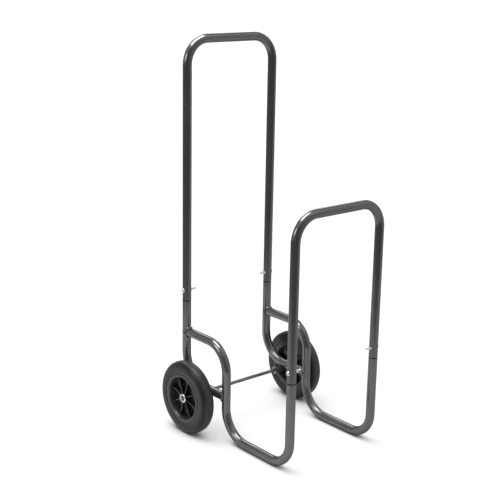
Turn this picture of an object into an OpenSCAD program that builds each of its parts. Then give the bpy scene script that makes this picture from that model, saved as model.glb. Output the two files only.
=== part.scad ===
// Fireside log cart: two bent-tube side frames, a tall handle hoop, a low front hoop and two wheels.
// The front hoop faces -Y, the handle stands at +Y and the floor is Z = 0.

/* [Frame tube] */
// Outside diameter of every frame tube
tube_d = 25; // [22:0.5:28]
// Wall thickness of the frame tube
tube_wall = 1.5; // [1.2:0.1:2]
// Size of the fillet weld where one tube lands on another
weld = 2.4; // [1.5:0.1:3.5]

/* [Side frames] */
// Distance between the centre lines of the two side frames
track = 306; // [260:1:360]
// Distance from the rear upright to the front post, between centre lines
frame_depth = 446; // [400:1:520]
// Distance from the rear upright to the vertical of the step tube
step_setback = 182; // [165:1:205]
// Height of the upper rail's centre line
rail_h = 271; // [245:1:300]
// Bend radius where the upper rail turns down
rail_bend_r = 77; // [60:1:85]
// Bend radius where the step tube meets the floor
foot_bend_r = 83; // [65:1:88]
// Bend radius where the floor rail turns up into the front post
toe_bend_r = 69; // [55:1:90]
// Bend radius at the bottom of the rear upright
heel_bend_r = 86; // [70:1:95]

/* [Hoops] */
// Overall height of the handle hoop
handle_h = 1111.5; // [950:0.5:1250]
// Overall height of the front hoop
front_hoop_h = 706.5; // [550:0.5:850]
// Bend radius of the corners of both hoops
hoop_bend_r = 69; // [50:1:90]
// Height of the seam between the handle hoop and the rear upright
rear_seam_h = 363; // [335:1:420]
// Height of the seam between the front hoop and the front post
front_seam_h = 252; // [180:1:320]
// Length of the necked tube end inside a hoop leg
neck_l = 60; // [50:1:80]
// Radial clearance between a neck and its hoop leg
neck_fit = 0.15; // [0.05:0.05:0.3]
// Bevel around the shoulder of a neck, which shows as the seam
seam_bevel = 1.1; // [0.4:0.1:1.3]
// Height of the groove between that bevel and the end of a hoop leg
seam_gap = 1.6; // [0.5:0.1:2.5]

/* [Hoop fasteners] */
// Height of a hoop bolt above its seam
bolt_rise = 32; // [25:1:40]
// Thread diameter of the bolts
bolt_d = 6; // [5:1:8]
// Shank length of the bolts
bolt_l = 44; // [40:1:60]
// Diameter of the domed bolt heads
bolt_head_d = 13; // [11:0.5:16]
// Height of the domed bolt heads
bolt_head_h = 3.8; // [3:0.1:5]
// Width of the hexagon socket in a bolt head
bolt_socket_w = 4; // [3:0.5:4.5]
// Radial clearance around a bolt in the tube walls
bolt_fit = 0.2; // [0.1:0.05:0.5]
// Width of the nuts across their flats
nut_w = 10; // [9.5:0.5:14]
// Thickness of the nuts
nut_h = 5; // [4:0.1:7]

/* [Axle] */
// Diameter of the axle
axle_d = 10; // [8:0.5:12]
// Distance from the rear upright's centre line forward to the axle
axle_setback = 73; // [62:1:84]
// Outside diameter of the sleeves that carry the axle
sleeve_d = 22; // [19:0.5:25]
// Reach of a sleeve inward from the side frame's centre line
sleeve_in = 29; // [20:1:45]
// Sleeve wall left between the axle and the tube above it
saddle_wall = 2.4; // [1.5:0.1:4]
// Radial running clearance on the axle
axle_fit = 0.06; // [0.02:0.01:0.1]

/* [Wheels] */
// Outside diameter of the tyres
wheel_d = 210; // [190:1:225]
// Width of the tyres
tyre_w = 40; // [34:1:46]
// Distance from a side frame's centre line to the middle of its wheel
wheel_offset = 52.5; // [48:0.5:70]
// Radius of the tyre's shoulders
shoulder_r = 14; // [9:0.5:16]
// Radius of the crowned tread, across the tyre
tread_r = 60; // [40:1:120]
// How far the sidewalls lie below the widest part of the tyre
wall_in = 1.4; // [0.3:0.1:1.5]
// Radius of the raised bead beside each lip of the rim
bead_r = 2.2; // [1.5:0.1:3]
// Diameter of the opening in the rim's face
rim_open_d = 124; // [110:1:134]
// How far the rim's face flares out around that opening
flare = 2; // [0.5:0.1:3]
// Depth of that flare
flare_h = 5; // [2:0.5:6]
// Wall thickness of the rim's band
rim_wall = 3; // [2:0.1:4]
// Radial height of the rim's lips over the tyre seat
lip_h = 2; // [1:0.1:3]
// Thickness of the rim's lips
lip_w = 2.5; // [1.5:0.1:4]
// Thickness of the web at the middle of the rim
web_t = 4; // [3:0.5:6]
// Number of ribs on each side of the web
ribs = 8; // [5:1:14]
// Turn of the ribs from straight down towards the back
rib_turn = 18; // [0:1:45]
// Thickness of the ribs
rib_t = 2.6; // [1.8:0.1:4]
// Diameter of the hub
hub_d = 27; // [24:0.5:34]
// Hub length inward from the middle of the wheel
hub_in = 18.5; // [14:0.5:20]
// Hub length outward from the middle of the wheel
hub_out = 16.5; // [12:0.5:20]
// How far the ribs stay below the ends of the hub
rib_drop = 3; // [1:0.5:6]
// How much lower the ribs are at the band than at the hub
rib_slope = 2; // [0:0.5:8]

/* [Wheel retainers] */
// Diameter of the washers at each end of a hub
washer_d = 26; // [22:0.5:30]
// Thickness of the washers
washer_t = 1.5; // [1:0.1:2.5]
// Axial play of a wheel at each end of its hub
end_play = 0.3; // [0.1:0.05:0.8]
// Diameter of the dished push-on lock rings
lock_d = 16; // [15:0.5:20]
// Thickness of the lock rings
lock_t = 0.8; // [0.6:0.1:1.2]
// Dish of the lock rings
lock_dish = 1.2; // [0.8:0.1:2]
// Length of axle that shows past a lock ring
axle_stub = 0.6; // [0.2:0.1:3]

/* [Hidden] */

$fn = 96;
$filled = false;
$swell = 0;

tube_r = tube_d / 2;
bore_r = tube_r - tube_wall;
half_track = track / 2;
wheel_r = wheel_d / 2;

// The cart is centred over the origin between its foremost tube and its rearmost edge.
back_reach = max(tube_r, wheel_r - axle_setback);
rear_y = (frame_depth + tube_r - back_reach) / 2;
front_y = rear_y - frame_depth;
step_y = rear_y - step_setback;
axle_y = rear_y - axle_setback;
axle_z = wheel_r;

// Centre lines of the rails and of the hoops' cross bars.
floor_z = tube_r;
heel_z = axle_z + axle_d / 2 + saddle_wall + tube_r;
handle_z = handle_h - tube_r;
front_bar_z = front_hoop_h - tube_r;

// A landing tube stops short of the other tube's centre line by this much before it is coped.
cope_land = tube_r / 3;

// A weld spreads a little further along the tube it sits on than up the tube that lands there.
weld_rise = 0.85 * weld;

neck_r = bore_r - neck_fit;
neck_bore_r = neck_r - tube_wall;
shoulder_h = seam_bevel + seam_gap;

rear_bolt_z = rear_seam_h + bolt_rise;
front_bolt_z = front_seam_h + bolt_rise;

sleeve_bore_r = axle_d / 2 + axle_fit;
hub_inner_x = half_track + wheel_offset - hub_in;
hub_outer_x = half_track + wheel_offset + hub_out;
sleeve_out_x = hub_inner_x - end_play - washer_t;
lock_x = hub_outer_x + end_play + washer_t;
axle_end_x = lock_x + lock_dish + lock_t + axle_stub;
axle_chamfer = 0.8;

seat_r = rim_open_d / 2 + rim_wall;
lip_r = seat_r + lip_h;
rim_draft = 1.2;
hub_fillet = 3;

small = 0.01;
past = 1;

// ---- shapes shared by several pieces ----

// Draws its children for the +X side as they stand and for the -X side mirrored.
module side(s) {
    if (s > 0) children();
    else mirror([1, 0, 0]) children();
}

// Draws a tube path solid and fatter by swell, as a cutter or as the body of a weld.
module filled(swell = 0) {
    $filled = true;
    $swell = swell;
    children();
}

module section() {
    difference() {
        circle(r = tube_r + $swell);
        if (!$filled) circle(r = bore_r);
    }
}

// One straight length along +Z, with the next step of the path at its end.
module run(length) {
    linear_extrude(length) section();
    translate([0, 0, length]) children();
}

// A quarter bend from +Z towards +Y (turn = 1) or -Y (turn = -1), with the next step at its end.
module bend(r, turn = 1) {
    translate([0, turn * r, 0]) {
        rotate([90, 0, -90 * turn]) rotate_extrude(angle = 90) translate([r, 0]) section();
        rotate([-90 * turn, 0, 0]) translate([0, -turn * r, 0]) children();
    }
}

// The reduced tube end that slides up into a hoop leg, with the bevelled shoulder it stands on.
module neck() {
    rotate_extrude() polygon([
        [neck_bore_r, -tube_wall],
        [bore_r, -2 * tube_wall],
        [tube_r, -2 * tube_wall],
        [tube_r, 0],
        [tube_r - seam_bevel, seam_bevel],
        [tube_r - seam_bevel, shoulder_h],
        [neck_r, shoulder_h],
        [neck_r, neck_l - seam_bevel],
        [neck_r - seam_bevel, neck_l],
        [neck_bore_r, neck_l]
    ]);
}

// A cross hole for a hoop bolt, along X through both walls of a tube.
module bolt_hole(z) {
    translate([0, 0, z]) rotate([0, 90, 0])
        cylinder(r = bolt_d / 2 + bolt_fit, h = tube_d + 2 * past, center = true, $fn = 32);
}

// An upside-down U from one leg's lower end to the other's.
module hoop(y, seam_z, bar_z) {
    leg = bar_z - hoop_bend_r - seam_z - shoulder_h;
    difference() {
        translate([-half_track, y, seam_z + shoulder_h]) rotate([0, 0, -90])
            run(leg) bend(hoop_bend_r) run(track - 2 * hoop_bend_r) bend(hoop_bend_r) run(leg);
        for (x = [-half_track, half_track])
            translate([x, y, 0]) bolt_hole(seam_z + bolt_rise);
    }
}

// A round washer in the YZ plane with its inner face at x.
module washer(x) {
    translate([x, axle_y, axle_z]) rotate([0, 90, 0]) linear_extrude(washer_t) difference() {
        circle(d = washer_d);
        circle(r = axle_d / 2 + axle_fit);
    }
}

module at_wheel() {
    translate([half_track + wheel_offset, axle_y, axle_z]) rotate([0, 90, 0]) children();
}

// ---- hoops ----

module handle_hoop() {
    color("#4d4f52") hoop(rear_y, rear_seam_h, handle_z);
}

module front_hoop() {
    color("#4d4f52") hoop(front_y, front_seam_h, front_bar_z);
}

// ---- side frames, drawn for the +X side ----

// Down the upright, round the heel and forward under the step.
module heel_path(from_z, short) {
    translate([half_track, rear_y, from_z]) rotate([180, 0, 0])
        run(from_z - heel_z - heel_bend_r) bend(heel_bend_r)
            run(step_setback - heel_bend_r - short);
}

module step_vertical() {
    translate([half_track, step_y, floor_z + foot_bend_r])
        cylinder(r = tube_r, h = rail_h - rail_bend_r - floor_z - foot_bend_r);
}

module rear_upright() {
    color("#54565a") difference() {
        union() {
            heel_path(rear_seam_h - 2 * tube_wall, cope_land);
            translate([half_track, rear_y, rear_seam_h]) neck();
        }
        step_vertical();
        translate([half_track, rear_y, 0]) bolt_hole(rear_bolt_z);
    }
}

// Forward along the upper rail, down the step, along the floor and up the front post.
module step_tube() {
    color("#54565a") difference() {
        union() {
            translate([half_track, rear_y - cope_land, rail_h]) rotate([90, 0, 0])
                run(step_setback - rail_bend_r - cope_land) bend(rail_bend_r, -1)
                    run(rail_h - rail_bend_r - floor_z - foot_bend_r) bend(foot_bend_r)
                        run(frame_depth - step_setback - foot_bend_r - toe_bend_r) bend(toe_bend_r)
                            run(front_seam_h - 2 * tube_wall - floor_z - toe_bend_r);
            translate([half_track, front_y, front_seam_h]) neck();
        }
        translate([half_track, rear_y, rail_h]) cylinder(r = tube_r, h = 3 * tube_d, center = true);
        translate([half_track, front_y, 0]) bolt_hole(front_bolt_z);
    }
}

module sleeve_body(r, past_end = 0) {
    length = sleeve_in + sleeve_out_x - half_track;
    translate([half_track - sleeve_in - past_end, axle_y, axle_z]) rotate([0, 90, 0])
        cylinder(r = r, h = length + 2 * past_end);
}

// A short tube across the cart, saddled into the underside of the heel tube.
module axle_sleeve() {
    color("#54565a") difference() {
        sleeve_body(sleeve_d / 2);
        sleeve_body(sleeve_bore_r, past);
        filled() heel_path(rail_h, cope_land);
    }
}

// The fillet weld around a tube that runs off in +Y from a tube along Z, outside both of them.
module land_weld() {
    reach = tube_r + 2 * weld;
    rotate([0, 0, -90]) difference() {
        intersection() {
            cylinder(r = tube_r + weld, h = 2 * reach, center = true);
            rotate([0, -90, 0]) cylinder(r = tube_r + weld_rise, h = reach);
        }
        cylinder(r = tube_r, h = 2 * reach + past, center = true);
        translate([-cope_land, 0, 0]) rotate([0, -90, 0]) cylinder(r = tube_r, h = reach);
    }
}

// The welds of one side frame: upper rail, lower rail and axle sleeve.
module welds() {
    color("#626468") {
        translate([half_track, rear_y, rail_h]) rotate([0, 0, 180]) land_weld();
        translate([half_track, step_y, heel_z]) land_weld();
        difference() {
            intersection() {
                sleeve_body(sleeve_d / 2 + weld_rise, -past);
                filled(weld) heel_path(rail_h, cope_land);
            }
            sleeve_body(sleeve_d / 2, past);
            filled() heel_path(rail_h, cope_land);
        }
    }
}

// ---- hoop fasteners, drawn for the +X side with the head outward ----

module hoop_bolt(y, z) {
    dome_r = (pow(bolt_head_d / 2, 2) + pow(bolt_head_h, 2)) / (2 * bolt_head_h);
    color("#c9cccf") translate([half_track + tube_r, y, z]) rotate([0, 90, 0]) difference() {
        union() {
            translate([0, 0, 1 - bolt_l]) cylinder(d = bolt_d, h = bolt_l - 1 + small, $fn = 48);
            translate([0, 0, -bolt_l]) cylinder(d1 = bolt_d - 2, d2 = bolt_d, h = 1, $fn = 48);
            intersection() {
                translate([0, 0, bolt_head_h - dome_r]) sphere(r = dome_r);
                cylinder(d = bolt_head_d, h = bolt_head_h);
            }
        }
        translate([0, 0, bolt_head_h / 2]) cylinder(d = bolt_socket_w / cos(30), h = bolt_head_h, $fn = 6);
    }
}

module hoop_nut(y, z) {
    corner_d = nut_w / cos(30);
    chamfer = (corner_d - nut_w) / 2 * tan(30);
    color("#c9cccf") translate([half_track - tube_r, y, z]) rotate([0, -90, 0]) difference() {
        intersection() {
            cylinder(d = corner_d, h = nut_h, $fn = 6);
            union() {
                cylinder(d1 = nut_w, d2 = corner_d, h = chamfer);
                translate([0, 0, chamfer]) cylinder(d = corner_d, h = nut_h - 2 * chamfer);
                translate([0, 0, nut_h - chamfer]) cylinder(d1 = corner_d, d2 = nut_w, h = chamfer);
            }
        }
        translate([0, 0, -past]) cylinder(d = bolt_d, h = nut_h + 2 * past, $fn = 48);
    }
}

// ---- axle and wheel retainers ----

module axle() {
    color("#54565a") translate([0, axle_y, axle_z]) rotate([0, 90, 0]) {
        cylinder(d = axle_d, h = 2 * (axle_end_x - axle_chamfer), center = true);
        for (s = [0, 1]) mirror([0, 0, s]) translate([0, 0, axle_end_x - axle_chamfer])
            cylinder(d1 = axle_d, d2 = axle_d - 2 * axle_chamfer, h = axle_chamfer);
    }
}

module inner_washer() {
    color("#c9cccf") washer(sleeve_out_x);
}

module outer_washer() {
    color("#c9cccf") washer(hub_outer_x + end_play);
}

// A pressed ring that grips the axle: a flat rim, a raised cone and prongs at the bore.
module lock_ring() {
    flat_w = 1.2;
    prongs = 6;
    slot_w = 1.2;
    slot_l = (lock_d / 2 - flat_w - axle_d / 2) * 0.6;
    color("#2c2d2f") translate([lock_x, axle_y, axle_z]) rotate([0, 90, 0]) difference() {
        rotate_extrude() polygon([
            [lock_d / 2, 0],
            [lock_d / 2, lock_t],
            [lock_d / 2 - flat_w, lock_t],
            [axle_d / 2, lock_t + lock_dish],
            [axle_d / 2, lock_dish],
            [lock_d / 2 - flat_w, 0]
        ]);
        for (i = [0 : prongs - 1]) rotate([0, 0, i * 360 / prongs])
            translate([0, -slot_w / 2, -past]) cube([axle_d / 2 + slot_l, slot_w, lock_dish + lock_t + 2 * past]);
    }
}

// ---- wheels, drawn about +Z with the outer face up ----

// Half section of the rim's band, lips and web, without the hub.
module rim_section() {
    half_w = tyre_w / 2;
    throat_r = rim_open_d / 2 - flare;
    floor_r = throat_r - rim_draft;
    polygon([
        [hub_d / 2 - small, -web_t / 2],
        [floor_r, -web_t / 2],
        [throat_r, flare_h - half_w],
        [rim_open_d / 2, -half_w],
        [lip_r, -half_w],
        [lip_r, lip_w - half_w],
        [seat_r, lip_w - half_w],
        [seat_r, half_w - lip_w],
        [lip_r, half_w - lip_w],
        [lip_r, half_w],
        [rim_open_d / 2, half_w],
        [throat_r, half_w - flare_h],
        [floor_r, web_t / 2],
        [hub_d / 2 - small, web_t / 2]
    ]);
}

// One rib, from the hub out to the band.
module rib(height) {
    inner = hub_d / 2 - past;
    outer = rim_open_d / 2 + past;
    rotate([90, 0, 0]) linear_extrude(rib_t, center = true) polygon([
        [inner, 0],
        [outer, 0],
        [outer, height - rib_slope],
        [inner + hub_fillet, height],
        [inner, height]
    ]);
}

module rim() {
    color("#1b1b1c") at_wheel() difference() {
        union() {
            rotate_extrude() rim_section();
            translate([0, 0, -hub_in]) cylinder(d = hub_d, h = hub_in + hub_out);
            for (i = [0 : ribs - 1]) rotate([0, 0, rib_turn + i * 360 / ribs]) {
                rib(hub_out - rib_drop);
                mirror([0, 0, 1]) rib(hub_in - rib_drop);
            }
        }
        translate([0, 0, -hub_in - past]) cylinder(r = axle_d / 2 + axle_fit, h = hub_in + hub_out + 2 * past);
    }
}

// Half section of the tyre: crowned tread, round shoulders that run out of it, and a bead beside each lip.
module tyre_section() {
    half_w = tyre_w / 2;
    shoulder_y = half_w - shoulder_r;
    shoulder_x = wheel_r - tread_r + sqrt(pow(tread_r - shoulder_r, 2) - pow(shoulder_y, 2));
    tread_y = tread_r * shoulder_y / (tread_r - shoulder_r);
    difference() {
        union() {
            intersection() {
                translate([wheel_r - tread_r, 0]) circle(r = tread_r, $fn = 360);
                translate([seat_r, -tread_y]) square([wheel_r - seat_r, 2 * tread_y]);
            }
            translate([seat_r, wall_in - half_w]) square([shoulder_x - seat_r, tyre_w - 2 * wall_in]);
            for (s = [-1, 1]) {
                translate([shoulder_x + small, s * shoulder_y]) circle(r = shoulder_r);
                translate([lip_r + bead_r, s * (half_w - bead_r)]) circle(r = bead_r);
            }
        }
        for (s = [0, 1]) mirror([0, s]) translate([seat_r - past, half_w - lip_w])
            square([lip_h + past, lip_w + past]);
    }
}

module tyre() {
    color("#3a3b3c") at_wheel() rotate_extrude($fn = 128) tyre_section();
}

handle_hoop();
front_hoop();
side(-1) rear_upright();  // left_rear_upright
side(1) rear_upright();  // right_rear_upright
side(-1) step_tube();  // left_step_tube
side(1) step_tube();  // right_step_tube
side(-1) axle_sleeve();  // left_axle_sleeve
side(1) axle_sleeve();  // right_axle_sleeve
side(-1) welds();  // left_welds
side(1) welds();  // right_welds
side(-1) hoop_bolt(rear_y, rear_bolt_z);  // left_rear_bolt
side(1) hoop_bolt(rear_y, rear_bolt_z);  // right_rear_bolt
side(-1) hoop_bolt(front_y, front_bolt_z);  // left_front_bolt
side(1) hoop_bolt(front_y, front_bolt_z);  // right_front_bolt
side(-1) hoop_nut(rear_y, rear_bolt_z);  // left_rear_nut
side(1) hoop_nut(rear_y, rear_bolt_z);  // right_rear_nut
side(-1) hoop_nut(front_y, front_bolt_z);  // left_front_nut
side(1) hoop_nut(front_y, front_bolt_z);  // right_front_nut
axle();
side(-1) inner_washer();  // left_inner_washer
side(1) inner_washer();  // right_inner_washer
side(-1) outer_washer();  // left_outer_washer
side(1) outer_washer();  // right_outer_washer
side(-1) lock_ring();  // left_lock_ring
side(1) lock_ring();  // right_lock_ring
side(-1) rim();  // left_rim
side(1) rim();  // right_rim
side(-1) tyre();  // left_tyre
side(1) tyre();  // right_tyre
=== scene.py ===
import math

import bmesh
import bpy
from mathutils import Matrix, Vector

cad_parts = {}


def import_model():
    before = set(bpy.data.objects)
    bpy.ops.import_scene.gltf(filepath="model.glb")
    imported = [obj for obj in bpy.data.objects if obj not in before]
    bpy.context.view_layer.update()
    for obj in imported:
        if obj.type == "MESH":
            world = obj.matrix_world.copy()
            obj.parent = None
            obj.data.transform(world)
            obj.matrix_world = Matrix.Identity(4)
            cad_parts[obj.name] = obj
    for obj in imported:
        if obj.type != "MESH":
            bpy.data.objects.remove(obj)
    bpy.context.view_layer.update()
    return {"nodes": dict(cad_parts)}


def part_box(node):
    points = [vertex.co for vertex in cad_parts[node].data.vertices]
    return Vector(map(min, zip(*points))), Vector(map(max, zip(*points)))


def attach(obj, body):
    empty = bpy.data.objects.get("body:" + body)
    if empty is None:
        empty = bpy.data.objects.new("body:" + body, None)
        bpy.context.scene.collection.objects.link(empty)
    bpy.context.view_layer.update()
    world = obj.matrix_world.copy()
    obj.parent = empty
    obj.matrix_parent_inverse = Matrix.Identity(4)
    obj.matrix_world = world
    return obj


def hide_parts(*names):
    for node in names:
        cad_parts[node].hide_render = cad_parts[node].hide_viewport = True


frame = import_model()
nodes = frame["nodes"]

# Sizes of the cart in metres, and its places in the shared frame.
TUBE_R = 0.0125
HALF_TRACK = 0.153
REAR_Y = 0.21325
STEP_Y = 0.03125
RAIL_Z = 0.271
HEEL_Z = 0.1249
HEEL_BEND_R = 0.086
AXLE_Y = 0.14025
AXLE_Z = 0.105
SLEEVE_R = 0.011
WHEEL_X = 0.2055
TYRE_HALF_W = 0.020
AXLE_HOLE_R = 0.00506
WASHER_R = 0.0130
WASHER_Z = 0.0168
WASHER_T = 0.0015
REAR_SEAM = 0.3630, 0.3662
FRONT_SEAM = 0.2520, 0.2552
SIDES = {"left": -1, "right": 1}


# ---------------------------------------------------------------- finishes


class Level:
    """A value in a material's nodes. Python's operators on it add Math nodes."""

    def __init__(self, finish, socket):
        self.finish = finish
        self.socket = socket

    def math(self, operation, *others):
        return self.finish.node("ShaderNodeMath", {"operation": operation}, self, *others)

    def __add__(self, other):
        return self.math("ADD", other)

    def __radd__(self, other):
        return self.math("ADD", other)

    def __sub__(self, other):
        return self.math("SUBTRACT", other)

    def __rsub__(self, other):
        return (self * -1.0).math("ADD", other)

    def __mul__(self, other):
        return self.math("MULTIPLY", other)

    def __rmul__(self, other):
        return self.math("MULTIPLY", other)

    def __pow__(self, other):
        return self.math("POWER", other)

    def sine(self):
        return self.math("SINE")

    def step(self, low, high):
        """0 below low, 1 above high and smooth between them; low may be the larger."""
        settings = {"interpolation_type": "SMOOTHSTEP"}
        return self.finish.node("ShaderNodeMapRange", settings, self, low, high)


class Finish:
    """One material, made of nodes. node() adds any node; shader() adds its surface."""

    def __init__(self, name):
        self.material = bpy.data.materials.new(name)
        self.material.use_nodes = True
        self.tree = self.material.node_tree
        self.tree.nodes.clear()
        self.output = self.tree.nodes.new("ShaderNodeOutputMaterial")
        place = self.tree.nodes.new("ShaderNodeTexCoord")
        self.place = Level(self, place.outputs["Object"])

    def node(self, kind, settings=None, *values, out=0, **named):
        node = self.tree.nodes.new(kind)
        for key, value in (settings or {}).items():
            setattr(node, key, value)
        for key, value in list(enumerate(values)) + list(named.items()):
            socket = node.inputs[key.replace("_", " ") if isinstance(key, str) else key]
            if isinstance(value, Level):
                self.tree.links.new(value.socket, socket)
            elif value is not None:
                socket.default_value = value
        return Level(self, node.outputs[out])

    def stretched(self, scale, shift=(0, 0, 0)):
        """Object coordinates moved by shift and then scaled."""
        moved = self.node("ShaderNodeVectorMath", {"operation": "ADD"}, self.place, shift)
        return self.node("ShaderNodeVectorMath", {"operation": "MULTIPLY"}, moved, scale)

    def noise(self, scale, detail=2.0, roughness=0.5, at=None):
        return self.node("ShaderNodeTexNoise", None, Vector=at or self.place,
                         Scale=scale, Detail=detail, Roughness=roughness)

    def cells(self, scale, feature="F1", out=0, at=None):
        return self.node("ShaderNodeTexVoronoi", {"feature": feature}, out=out,
                         Vector=at or self.place, Scale=scale)

    def axes(self, at=None):
        split = self.node("ShaderNodeSeparateXYZ", None, at or self.place).socket.node
        return [Level(self, s) for s in split.outputs]

    def brightness(self, colour):
        return self.node("ShaderNodeRGBToBW", None, colour)

    def mix(self, factor, low, high, blend="MIX"):
        """A colour between low and high."""
        node = self.tree.nodes.new("ShaderNodeMix")
        node.data_type = "RGBA"
        node.blend_type = blend
        for index, value in ((0, factor), (6, low), (7, high)):
            if isinstance(value, Level):
                self.tree.links.new(value.socket, node.inputs[index])
            else:
                node.inputs[index].default_value = value
        return Level(self, node.outputs[2])

    def bump(self, height, distance, strength=1.0, below=None):
        return self.node("ShaderNodeBump", None, Strength=strength, Distance=distance,
                         Height=height, Normal=below)

    def shader(self, **sockets):
        surface = self.node("ShaderNodeBsdfPrincipled", None, **sockets)
        self.tree.links.new(surface.socket, self.output.inputs["Surface"])
        return self.material


def grey(value, warmth=0.0):
    """A near neutral colour; warmth above 0 leans to brown and below 0 to blue."""
    return (value * (1 + warmth), value, value * (1 - warmth), 1)


def seam_dirt_and_shade_at(y, z, end, heights):
    """The dark joint line of the posts at one end of the cart: dirt in the gap, and painted shade
    where the gap falls in shadow.
    """
    low, high = heights
    soft = 0.0003
    return (y * end).step(0.19, 0.20) * z.step(low - soft, low) * z.step(high + soft, high)


def paint(name, depth, coarse):
    """Graphite powder coat: metal fleck, orange peel, faint runs and scuffs at the floor."""
    finish = Finish(name)
    _, y, z = finish.axes()
    fleck = finish.brightness(finish.cells(2600, out=1))
    spark = fleck.step(0.80, 0.97)
    cloud = finish.noise(9, 2)
    mottle = finish.noise(640, 3, 0.6)
    peel = finish.noise(coarse, 2, 0.45)
    grit = finish.noise(2600, 1)
    scratch = finish.noise(1, 3, 0.6, at=finish.stretched((900, 60, 900)))
    scuffed = z.step(0.0028, 0.0006) * scratch.step(0.42, 0.66)
    dust = z.step(0.06, 0.0) * cloud.step(0.45, 0.75) * 0.35
    dark, light = grey(depth * 0.94, -0.025), grey(depth * 1.06, -0.02)
    colour = finish.mix(cloud.step(0.3, 0.7), dark, light)
    colour = finish.mix(mottle.step(0.35, 0.7) * 0.3, colour, grey(depth * 1.3, -0.02))
    colour = finish.mix(spark * 0.4, colour, grey(depth * 2.2, -0.01))
    colour = finish.mix(dust, colour, grey(0.19, 0.05))
    colour = finish.mix(scuffed * 0.8, colour, grey(0.33, 0.01))
    # The joint lines of the posts are painted near black: partly dirt in the gap, partly painted
    # shade where the gap lies in shadow.
    seam_dirt_and_shade = seam_dirt_and_shade_at(y, z, 1, REAR_SEAM) + seam_dirt_and_shade_at(y, z, -1, FRONT_SEAM)
    colour = finish.mix(seam_dirt_and_shade * 0.9, colour, grey(0.012))
    rough = 0.13 + 0.03 * cloud.step(0.3, 0.7) + 0.05 * mottle - 0.03 * spark
    rough = rough + 0.18 * dust + 0.1 * scuffed + 0.3 * seam_dirt_and_shade
    relief = finish.bump(peel, 0.00025, 0.16)
    relief = finish.bump(grit + fleck * 0.3, 0.00004, 0.22, relief)
    relief = finish.bump(scratch * scuffed, 0.0003, 0.4, relief)
    return finish.shader(Base_Color=colour, Metallic=0.75, Roughness=rough, Normal=relief,
                         Specular_Tint=(0.5, 0.5, 0.5, 1))


def zinc_plate(name, tint):
    """Bright zinc: faint crystalline cloud, fine grain and duller patches."""
    finish = Finish(name)
    cloud = finish.noise(240, 3, 0.55)
    grain = finish.noise(5200, 2)
    spangle = finish.brightness(finish.cells(900, out=1))
    dull = cloud.step(0.48, 0.72)
    colour = finish.mix(dull, grey(0.78 * tint, -0.03), grey(0.56 * tint, -0.01))
    colour = finish.mix(spangle * 0.25, colour, grey(0.86 * tint, -0.02))
    rough = 0.20 + 0.20 * dull + 0.08 * grain + 0.05 * spangle
    relief = finish.bump(grain + 0.5 * cloud, 0.00004, 0.5)
    return finish.shader(Base_Color=colour, Metallic=1.0, Roughness=rough, Normal=relief)


def phosphate(name):
    """Black phosphated spring steel: a matt crystalline skin, its high grains rubbed brighter."""
    finish = Finish(name)
    grain = finish.noise(3800, 3, 0.6)
    crystal = finish.brightness(finish.cells(3200, out=1))
    rubbed = grain.step(0.56, 0.72) * 0.4
    colour = finish.mix(crystal, grey(0.030, -0.02), grey(0.055, -0.02))
    colour = finish.mix(rubbed, colour, grey(0.24, -0.01))
    rough = 0.36 + 0.14 * crystal - 0.1 * rubbed
    relief = finish.bump(crystal + grain, 0.00003, 0.4)
    return finish.shader(Base_Color=colour, Metallic=0.8, Roughness=rough, Normal=relief)


def wheel_radius(finish):
    """Distance from the line of the axle."""
    _, y, z = finish.axes()
    ahead, up = y - AXLE_Y, z - AXLE_Z
    return (ahead * ahead + up * up) ** 0.5


def moulded_plastic(name):
    """Black moulded rim: leathery grain, flow cloud, a painted sheen that makes the throat and lip
    paler, and a little dust.
    """
    finish = Finish(name)
    radius = wheel_radius(finish)
    grain = finish.cells(1500, "SMOOTH_F1")
    cloud = finish.noise(45, 3)
    dust = finish.noise(420, 4, 0.65).step(0.5, 0.8) * radius.step(0.040, 0.060)
    rub = radius.step(0.0662, 0.0670) * finish.noise(500, 3).step(0.35, 0.6)
    # Painted sheen: the throat wall and lip are painted paler for the light that wall catches.
    wall = radius.step(0.0578, 0.0592)
    colour = finish.mix(cloud.step(0.3, 0.7), grey(0.010), grey(0.017))
    colour = finish.mix(wall * 0.8, colour, grey(0.045, 0.01))
    colour = finish.mix(dust * 0.3, colour, grey(0.04, 0.04))
    colour = finish.mix(rub * 0.5, colour, grey(0.075, 0.01))
    rough = 0.22 + 0.12 * cloud + 0.24 * dust + 0.1 * rub
    relief = finish.bump(grain, 0.00012, 0.35)
    relief = finish.bump(cloud, 0.0003, 0.25, relief)
    return finish.shader(Base_Color=colour, Roughness=rough, Normal=relief,
                         Specular_IOR_Level=0.45)


def rubber(name):
    """Solid grey-black rubber: bloom, mould rings round the sidewall, scuffed tread."""
    finish = Finish(name)
    radius = wheel_radius(finish)
    cloud = finish.noise(38, 4, 0.6)
    pores = finish.noise(1500, 3, 0.7)
    rings = (radius * 5200).sine()
    rings = rings * rings * finish.noise(60, 1).step(0.35, 0.65)
    tread = radius.step(0.1005, 0.1035)
    worn = tread * finish.noise(170, 4, 0.7).step(0.42, 0.7)
    bloom = cloud.step(0.38, 0.72)
    bead = radius.step(0.0735, 0.0715)
    colour = finish.mix(bloom, grey(0.013, 0.01), grey(0.020, 0.02))
    colour = finish.mix(tread * 0.6, colour, grey(0.060, 0.01))
    colour = finish.mix(bead * 0.5, colour, grey(0.085, 0.01))
    colour = finish.mix(worn * 0.3, colour, grey(0.060, 0.04))
    colour = finish.mix(pores.step(0.62, 0.8) * 0.3, colour, grey(0.012))
    rough = 0.30 + 0.08 * bloom + 0.16 * worn - 0.05 * pores
    relief = finish.bump(pores, 0.00018, 0.45)
    relief = finish.bump(rings * (1 - tread), 0.00006, 0.5, relief)
    relief = finish.bump(worn, 0.0003, 0.35, relief)
    return finish.shader(Base_Color=colour, Roughness=rough, Normal=relief,
                         Specular_IOR_Level=0.26)


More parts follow.
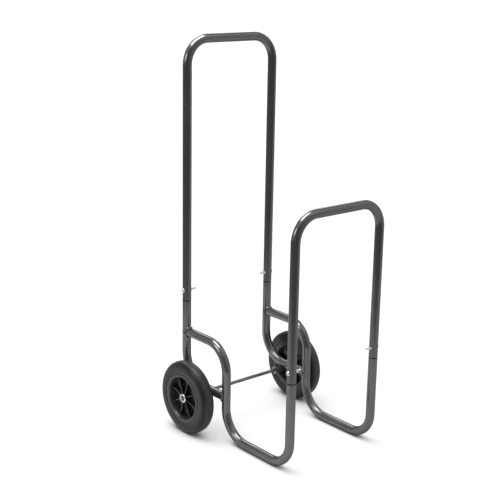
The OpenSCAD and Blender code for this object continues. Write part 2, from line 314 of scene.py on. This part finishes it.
hoop_paint = paint("graphite_hoops", 0.145, 620)
frame_paint = paint("graphite_frames", 0.165, 560)
weld_paint = paint("graphite_on_weld", 0.165, 700)
zinc = zinc_plate("bright_zinc", 1.0)
spring_steel = phosphate("black_spring_steel")
rim_plastic = moulded_plastic("black_rim_plastic")
tyre_rubber = rubber("solid_tyre_rubber")


def dress(material, *names):
    for name in names:
        mesh = nodes[name].data
        mesh.materials.clear()
        mesh.materials.append(material)


dress(hoop_paint, "handle_hoop", "front_hoop")
dress(frame_paint, "axle")
for hand in SIDES:
    dress(frame_paint, f"{hand}_rear_upright", f"{hand}_step_tube", f"{hand}_axle_sleeve")
    dress(zinc, f"{hand}_inner_washer", f"{hand}_outer_washer")
    dress(zinc, f"{hand}_rear_nut", f"{hand}_front_nut")
    dress(spring_steel, f"{hand}_lock_ring")
    dress(rim_plastic, f"{hand}_rim")


# ---------------------------------------------------------------- pieces


def keep(bm, name, body, material, slot, *replaced):
    """Makes a finished bmesh an object of the cart."""
    bmesh.ops.remove_doubles(bm, verts=bm.verts, dist=1e-6)
    bmesh.ops.recalc_face_normals(bm, faces=bm.faces)
    mesh = bpy.data.meshes.new(name)
    bm.to_mesh(mesh)
    bm.free()
    mesh.materials.append(material)
    mesh.shade_smooth()
    mesh.set_sharp_from_angle(angle=math.radians(40))
    piece = bpy.data.objects.new(name, mesh)
    bpy.context.scene.collection.objects.link(piece)
    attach(piece, body)
    if replaced:
        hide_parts(*replaced)
    return piece


class Section:
    """A section line in a bmesh, drawn by pulling and turning its last vertex in the XZ plane."""

    def __init__(self, bm, x, z):
        self.bm = bm
        self.last = bm.verts.new((x, 0, z))
        self.verts = [self.last]

    def line(self, *places):
        for x, z in places:
            drawn = bmesh.ops.extrude_vert_indiv(self.bm, verts=[self.last])
            self.last = drawn["verts"][0]
            self.last.co = (x, 0, z)
            self.verts.append(self.last)
        return self

    def arc(self, x, z, degrees, steps):
        """Turns about (x, z); positive degrees go from +Z towards +X."""
        known = set(self.bm.verts)
        bmesh.ops.spin(self.bm, geom=[self.last], cent=(x, 0, z), axis=(0, 1, 0),
                       angle=math.radians(degrees), steps=steps)
        drawn = [v for v in self.bm.verts if v not in known]
        self.last = drawn[-1]
        self.verts += drawn
        return self

    def turn(self, steps):
        """Turns the whole line round the Z axis."""
        edges = {e for v in self.verts for e in v.link_edges}
        bmesh.ops.spin(self.bm, geom=list(self.verts) + list(edges), cent=(0, 0, 0),
                       axis=(0, 0, 1), angle=2 * math.pi, steps=steps, use_merge=True)


def tyre(hand, way):
    """Solid tyre with a crowned tread, a mould line, a shoulder line and a ringed sidewall."""
    bm = bmesh.new()
    seat_r, side_r, tread_r = 0.0652, 0.0897, 0.1050
    shoulder_r, shoulder_turn, half_w = 0.0147, 61, TYRE_HALF_W
    for end in (1, -1):
        section = Section(bm, seat_r, 0)
        # Bead ridge against the rim's lip, groove, sidewall.
        section.line((seat_r, end * 0.0172), (0.0669, end * 0.0174), (0.0670, end * 0.0186),
                     (0.0674, end * 0.0193), (0.0681, end * 0.0198), (0.0692, end * half_w),
                     (0.0703, end * 0.0198), (0.0712, end * 0.0193), (0.0722, end * 0.0190),
                     (0.0736, end * 0.0189), (0.0748, end * 0.0191), (0.0758, end * 0.0195),
                     (0.0770, end * 0.0198), (0.0790, end * half_w), (0.0850, end * half_w),
                     (side_r, end * half_w))
        section.arc(side_r, end * (half_w - shoulder_r), end * shoulder_turn, 14)
        # Shoulder line, crown, mould line.
        x, z = section.last.co.x, section.last.co.z
        section.line((x + 0.00015, z - end * 0.0002), (x + 0.0005, z - end * 0.0012),
                     (0.1036, end * 0.0100), (0.1042, end * 0.0078), (0.1046, end * 0.0053),
                     (0.1049, end * 0.0027), (tread_r, end * 0.0008), (tread_r, 0))
        section.turn(160)
    bmesh.ops.transform(bm, matrix=wheel_place(way), verts=bm.verts)
    keep(bm, f"{hand}_solid_tyre", f"{hand}_wheel", tyre_rubber, "tyre_rubber", f"{hand}_tyre")


def crowned_washer(hand, way):
    """Zinc plated retaining washer with a rolled crown outside the lock ring."""
    bm = bmesh.new()
    low, high = WASHER_Z, WASHER_Z + WASHER_T
    section = Section(bm, AXLE_HOLE_R, low)
    section.line((AXLE_HOLE_R, high), (0.0080, high), (0.0084, high + 0.0001),
                 (0.0089, high + 0.0005), (0.0095, high + 0.0008), (0.0102, high + 0.0009),
                 (0.0109, high + 0.0008), (0.0116, high + 0.0004), (0.0122, high - 0.0002),
                 (0.0127, high - 0.0008), (WASHER_R, high - 0.0012), (WASHER_R, low),
                 (AXLE_HOLE_R, low))
    section.turn(64)
    bmesh.ops.transform(bm, matrix=wheel_place(way), verts=bm.verts)
    keep(bm, f"{hand}_crowned_washer", "cart", zinc, "zinc", f"{hand}_outer_washer")


def wheel_place(way):
    """From a wheel drawn about +Z with its outer face up to its place on the cart."""
    turned = Matrix.Rotation(math.radians(90 * way), 4, "Y")
    return Matrix.Translation((way * WHEEL_X, AXLE_Y, AXLE_Z)) @ turned


def bolt(name, way, y, z):
    """Button head screw: domed head, hexagon socket, shank and a cut thread on its tail."""
    bm = bmesh.new()
    shank_r, root_r, crest_r = 0.0030, 0.00245, 0.00298
    tail, thread_from, chamfer = -0.044, -0.0235, 0.0006
    # Head and shank in one turned section, open at the socket.
    section = Section(bm, 0, tail)
    section.line((root_r - chamfer, tail), (root_r, tail + chamfer), (root_r, thread_from),
                 (shank_r, thread_from + 0.0008), (shank_r, 0), (0.0063, 0), (0.0065, 0.0003),
                 (0.0064, 0.0009), (0.0058, 0.0020), (0.0048, 0.0029), (0.0036, 0.0035),
                 (0.0029, 0.0037))
    section.turn(48)
    rim = [e for e in bm.edges if e.is_boundary and e.verts[0].co.z > 0]
    # Socket: pull the open rim in to a hexagon, down, and close it with a cone.
    for flat, depth in ((0.0043, 0.00345), (0.0040, 0.0032), (0.0040, 0.0014)):
        drawn = bmesh.ops.extrude_edge_only(bm, edges=rim)["geom"]
        ring = [v for v in drawn if isinstance(v, bmesh.types.BMVert)]
        for v in ring:
            around = math.atan2(v.co.y, v.co.x)
            corner = math.pi / 6 - around % (math.pi / 3)
            reach = flat / 2 / math.cos(corner)
            v.co = (reach * math.cos(around), reach * math.sin(around), depth)
        rim = [e for e in drawn if isinstance(e, bmesh.types.BMEdge) and e.is_boundary]
    closed = bmesh.ops.edgenet_fill(bm, edges=rim)["faces"]
    bmesh.ops.poke(bm, faces=closed, offset=-0.0004)
    # Thread: a closed ridge that runs round and along the tail.
    pitch, turn_steps = 0.001, 24
    turns = (abs(tail) - abs(thread_from)) / pitch - 1.6
    low, foot_r = tail + chamfer, root_r - 0.0002
    flank = (foot_r, 0), (crest_r, 0.00042), (crest_r, 0.00055), (foot_r, 0.00095)
    ridge = [bm.verts.new((r, 0, low + h)) for r, h in flank]
    loop = bm.faces.new(ridge)
    geom = list(loop.edges) + ridge
    bmesh.ops.spin(bm, geom=geom + [loop], cent=(0, 0, 0), axis=(0, 0, 1),
                   dvec=(0, 0, pitch / turn_steps), angle=2 * math.pi * turns,
                   steps=int(turns * turn_steps))
    turned = Matrix.Rotation(math.radians(90 * way), 4, "Y")
    place = Matrix.Translation((way * (HALF_TRACK + TUBE_R), y, z)) @ turned
    bmesh.ops.transform(bm, matrix=place, verts=bm.verts)
    keep(bm, f"{name}_screw", "cart", zinc, "zinc", f"{name}_bolt")


def bead(bm, path, outward, radius, ripple, size, place):
    """A weld bead: a turned ring whose vertices are laid along path and stepped into ripples."""
    made = set(bm.verts)
    steps, sides = ripple * 4, 8
    upright = Matrix.Translation((radius, 0, 0)) @ Matrix.Rotation(math.pi / 2, 4, "X")
    ring = bmesh.ops.create_circle(bm, segments=sides, radius=size, matrix=upright)["verts"]
    edges = list({e for v in ring for e in v.link_edges})
    bmesh.ops.spin(bm, geom=ring + edges, cent=(0, 0, 0), axis=(0, 0, 1),
                   angle=2 * math.pi, steps=steps, use_merge=True)
    fresh = [v for v in bm.verts if v not in made]
    for v in fresh:
        angle = math.atan2(v.co.y, v.co.x)
        off = math.hypot(v.co.x, v.co.y) - radius
        here, ahead = path(angle), path(angle + 0.01)
        along = (ahead - here).normalized()
        out = outward(angle)
        out = (out - along * out.dot(along)).normalized()
        side = along.cross(out)
        phase = (angle * ripple / (2 * math.pi)) % 1.0
        swell = 1 + 0.08 * (1 - phase) ** 1.5 - 0.03
        v.co = here + out * off * swell + side * v.co.z * swell - along * (off * 0.35)
    bmesh.ops.transform(bm, matrix=place, verts=fresh)


def weld_beads(hand, way):
    """The three beads of one side frame, with their ripples."""
    bm = bmesh.new()

    def cope(angle):
        """Round the landing tube, on the wall of the tube that carries it; it runs off in +Y."""
        x, z = TUBE_R * math.cos(angle), TUBE_R * math.sin(angle)
        proud = 0.0022
        reach = math.sqrt(max(TUBE_R ** 2 - x ** 2, 0.0) + proud ** 2)
        return Vector((x, reach, z))

    def cope_out(angle):
        x, z = math.cos(angle), math.sin(angle)
        away = Vector((x, 0, z)) + Vector((x, abs(z), 0))
        return away.normalized()

    def saddle_reach(angle):
        """How far from the middle the heel's tube meets the sleeve, found by halving."""
        low, high = 0.004, 0.011
        for _ in range(40):
            reach = (low + high) / 2
            x, y = reach * math.cos(angle), reach * math.sin(angle)
            behind = max(AXLE_Y + y - (REAR_Y - HEEL_BEND_R), 0.0)
            centre = HEEL_Z + HEEL_BEND_R - math.sqrt(HEEL_BEND_R ** 2 - behind ** 2)
            tube = centre - math.sqrt(max(TUBE_R ** 2 - x * x, 0))
            sleeve = AXLE_Z + math.sqrt(max(SLEEVE_R ** 2 - y * y, 0))
            if tube < sleeve:
                low = reach
            else:
                high = reach
        return reach, sleeve

    def saddle(angle):
        reach, height = saddle_reach(angle)
        return Vector((reach * math.cos(angle), reach * math.sin(angle), height - AXLE_Z))

    def saddle_out(angle):
        return Vector((math.cos(angle), math.sin(angle), 0))

    rail = Matrix.Translation((way * HALF_TRACK, REAR_Y, RAIL_Z)) @ Matrix.Rotation(math.pi, 4, "Z")
    step = Matrix.Translation((way * HALF_TRACK, STEP_Y, HEEL_Z))
    heel = Matrix.Translation((way * HALF_TRACK, AXLE_Y, AXLE_Z))
    bead(bm, cope, cope_out, 0.012, 30, 0.0042, rail)
    bead(bm, cope, cope_out, 0.012, 30, 0.0036, step)
    bead(bm, saddle, saddle_out, 0.009, 30, 0.0019, heel)
    keep(bm, f"{hand}_weld_beads", "cart", weld_paint, "weld_paint", f"{hand}_welds")


for hand, way in SIDES.items():
    tyre(hand, way)
    crowned_washer(hand, way)
    weld_beads(hand, way)
    for end in ("rear", "front"):
        name = f"{hand}_{end}"
        low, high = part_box(f"{name}_bolt")
        bolt(name, way, (low.y + high.y) / 2, (low.z + high.z) / 2)


# ---------------------------------------------------------------- studio

YAW, PITCH, ROLL = (math.radians(a) for a in (40.72, -15.32, 1.02))
LENS_AT = Vector((-1.92195, -2.11454, 1.31553))
AWAY = Vector((math.sin(YAW), math.cos(YAW), 0))
RIGHT = Vector((math.cos(YAW), -math.sin(YAW), 0))


def toward(side, rise):
    """The direction seen side degrees right of straight ahead and rise degrees up."""
    side, rise = math.radians(side), math.radians(rise)
    level = AWAY * math.cos(side) + RIGHT * math.sin(side)
    return level * math.cos(rise) + Vector((0, 0, math.sin(rise)))


DARK_CORNER = toward(-63, 39)


def studio(away, right, height):
    """A place in the studio, in metres away from the camera and to its right, from the cart."""
    return AWAY * away + RIGHT * right + Vector((0, 0, height))


def camera():
    ahead = AWAY * math.cos(PITCH) + Vector((0, 0, math.sin(PITCH)))
    above = RIGHT.cross(ahead)
    right = math.cos(ROLL) * RIGHT + math.sin(ROLL) * above
    up = math.cos(ROLL) * above - math.sin(ROLL) * RIGHT
    data = bpy.data.cameras.new("photograph_view")
    data.sensor_width = 36
    data.lens = 77.19
    view = bpy.data.objects.new("photograph_view", data)
    turned = Matrix((right, up, -ahead)).transposed().to_4x4()
    view.matrix_world = Matrix.Translation(LENS_AT) @ turned
    bpy.context.scene.collection.objects.link(view)
    bpy.context.scene.camera = view


def sun(name, place, strength, width):
    """Soft even light from far away. It lights surfaces, and the softboxes give their gloss."""
    data = bpy.data.lights.new(name, "SUN")
    data.energy = strength
    data.angle = math.radians(width)
    light = bpy.data.objects.new(name, data)
    light.rotation_euler = place.to_track_quat("Z", "Y").to_euler()
    light.visible_glossy = False
    bpy.context.scene.collection.objects.link(light)


def softbox(name, place, aim, width, height, glow):
    """A lit panel that only shows in reflections; glow is its brightness, where white is 1."""
    data = bpy.data.lights.new(name, "AREA")
    data.shape = "RECTANGLE"
    data.size, data.size_y = width, height
    data.energy = glow * math.pi * width * height
    light = bpy.data.objects.new(name, data)
    light.location = place
    light.rotation_euler = (aim - place).to_track_quat("-Z", "Y").to_euler()
    light.visible_diffuse = False
    light.visible_camera = False
    bpy.context.scene.collection.objects.link(light)


class Studio:
    """The node tree of the world or of the floor."""

    def __init__(self, tree):
        self.tree = tree
        tree.nodes.clear()

    def add(self, kind, settings=None, out=0, **inputs):
        node = self.tree.nodes.new(kind)
        for key, value in (settings or {}).items():
            setattr(node, key, value)
        for key, value in inputs.items():
            numbered = key[0] == "i" and key[1:].isdigit()
            socket = node.inputs[int(key[1:]) if numbered else key.replace("_", " ")]
            if isinstance(value, bpy.types.NodeSocket):
                self.tree.links.new(value, socket)
            else:
                socket.default_value = value
        return node.outputs[out]

    def step(self, value, low, high, start=0.0, end=1.0):
        return self.add("ShaderNodeMapRange", {"interpolation_type": "SMOOTHSTEP"}, Value=value,
                        From_Min=low, From_Max=high, To_Min=start, To_Max=end)

    def along(self, place, direction):
        return self.add("ShaderNodeVectorMath", {"operation": "DOT_PRODUCT"}, out=1,
                        i0=place, i1=direction)

    def math(self, operation, one, *two):
        return self.add("ShaderNodeMath", {"operation": operation}, i0=one,
                        **{"i1": other for other in two})

    def times(self, one, two):
        return self.math("MULTIPLY", one, two)


def world():
    """White to the camera. In reflections, a room that darkens towards the camera."""
    room = bpy.data.worlds.new("white_studio")
    bpy.context.scene.world = room
    room.use_nodes = True
    tree = Studio(room.node_tree)
    path = tree.add("ShaderNodeLightPath")
    rays = path.node.outputs
    direction = tree.add("ShaderNodeTexCoord").node.outputs["Generated"]
    aside = tree.math("ABSOLUTE", tree.along(direction, RIGHT))
    walls = tree.step(aside, 0.15, 0.8)
    depth = tree.step(tree.along(direction, AWAY), -0.95, 0.25, 0.45, 1.0)
    height = tree.along(direction, Vector((0, 0, 1)))
    above = tree.step(height, 0.55, 1.0, 1.0, 3.0)
    corner = tree.step(tree.along(direction, DARK_CORNER), 0.87, 0.98, 1.0, 0.5)
    lit = tree.times(tree.step(tree.times(walls, depth), 0.0, 1.0, 0.20, 0.88), above)
    lit = tree.math("MAXIMUM", tree.times(lit, corner), tree.step(height, 0.60, 0.82, 0.0, 0.85))
    mirrored = tree.add("ShaderNodeBackground", Strength=lit)
    seen = tree.add("ShaderNodeBackground", Color=(1, 1, 1, 1), Strength=1.0)
    soft = tree.add("ShaderNodeBackground", Strength=0.34)
    glossy = tree.add("ShaderNodeMixShader", i0=rays["Is Glossy Ray"], i1=soft, i2=mirrored)
    direct = tree.math("MAXIMUM", rays["Is Camera Ray"], rays["Is Transmission Ray"])
    mixed = tree.add("ShaderNodeMixShader", i0=direct, i1=glossy, i2=seen)
    output = tree.tree.nodes.new("ShaderNodeOutputWorld")
    tree.tree.links.new(mixed, output.inputs["Surface"])


def floor():
    """White to the camera with the cart's shadow. In reflections its colour is painted light only
    near the cart, with a brighter painted patch beside it.
    """
    bm = bmesh.new()
    bmesh.ops.create_grid(bm, x_segments=2, y_segments=2, size=80)
    mesh = bpy.data.meshes.new("studio_floor")
    bm.to_mesh(mesh)
    bm.free()
    surface = bpy.data.objects.new("studio_floor", mesh)
    bpy.context.scene.collection.objects.link(surface)
    material = bpy.data.materials.new("white_floor")
    material.use_nodes = True
    tree = Studio(material.node_tree)
    rays = tree.add("ShaderNodeLightPath").node.outputs
    place = tree.add("ShaderNodeTexCoord").node.outputs["Object"]
    # For reflections the floor's colour carries painted light: lighter near the cart and darker
    # away from it.
    near = tree.step(tree.along(place, -AWAY), 1.6, 0.3)
    left = tree.step(tree.along(place, RIGHT), -1.4, -0.95, 0.25, 1.0)
    wide = tree.math("ABSOLUTE", tree.along(place, RIGHT * 0.8))
    beyond = tree.math("SUBTRACT", tree.along(place, AWAY), wide)
    open_floor = tree.times(tree.times(near, left), tree.step(beyond, 2.0, 0.6, 0.2, 1.0))
    right = tree.step(tree.along(place, RIGHT), -0.1, 0.4, 1.0, 0.8)
    lit = tree.times(tree.step(open_floor, 0.0, 1.0, 0.18, 0.9), right)
    # A brighter painted patch of light on the floor beside the cart, seen only in reflections.
    gap = tree.add("ShaderNodeVectorMath", {"operation": "DISTANCE"}, out=1,
                   i0=place, i1=studio(0.3, -0.42, 0))
    mirrored = tree.math("ADD", lit, tree.step(gap, 0.45, 0.15, 0.0, 0.55))
    camera_ray = rays["Is Camera Ray"]
    shade = tree.add("ShaderNodeMix", {"data_type": "FLOAT"}, i0=camera_ray, i2=mirrored, i3=0.62)
    colour = tree.add("ShaderNodeCombineColor", i0=shade, i1=shade, i2=shade)
    matt = tree.add("ShaderNodeBsdfDiffuse", Color=colour)
    # The glow fades out where the cart stands close above, and leaves a dark contact shadow.
    clear = tree.add("ShaderNodeAmbientOcclusion", {"samples": 16}, out=1, Distance=0.05)
    glow = tree.times(tree.step(clear, 0.25, 0.9), 0.47)
    lift = tree.add("ShaderNodeEmission", Strength=tree.times(camera_ray, glow))
    both = tree.add("ShaderNodeAddShader", i0=matt, i1=lift)
    output = tree.tree.nodes.new("ShaderNodeOutputMaterial")
    tree.tree.links.new(both, output.inputs["Surface"])
    mesh.materials.append(material)


camera()
sun("key_light", studio(0.10, -0.26, 1.0), 2.25, 48)
sun("fill_light", studio(-0.9, 0.5, 0.7), 0.45, 60)
cart_middle = Vector((0, 0, 0.4))
softbox("overhead_softbox", studio(0.1, -0.35, 2.3), studio(0.1, -0.35, 0), 1.2, 1.2, 8)
softbox("left_softbox", studio(-1.2, -2.2, 1.9), cart_middle, 0.9, 1.0, 6)
softbox("rear_softbox", studio(1.9, -0.15, 1.6), cart_middle, 1.9, 0.8, 3.5)
world()
floor()
bpy.context.scene.view_settings.view_transform = "Standard"
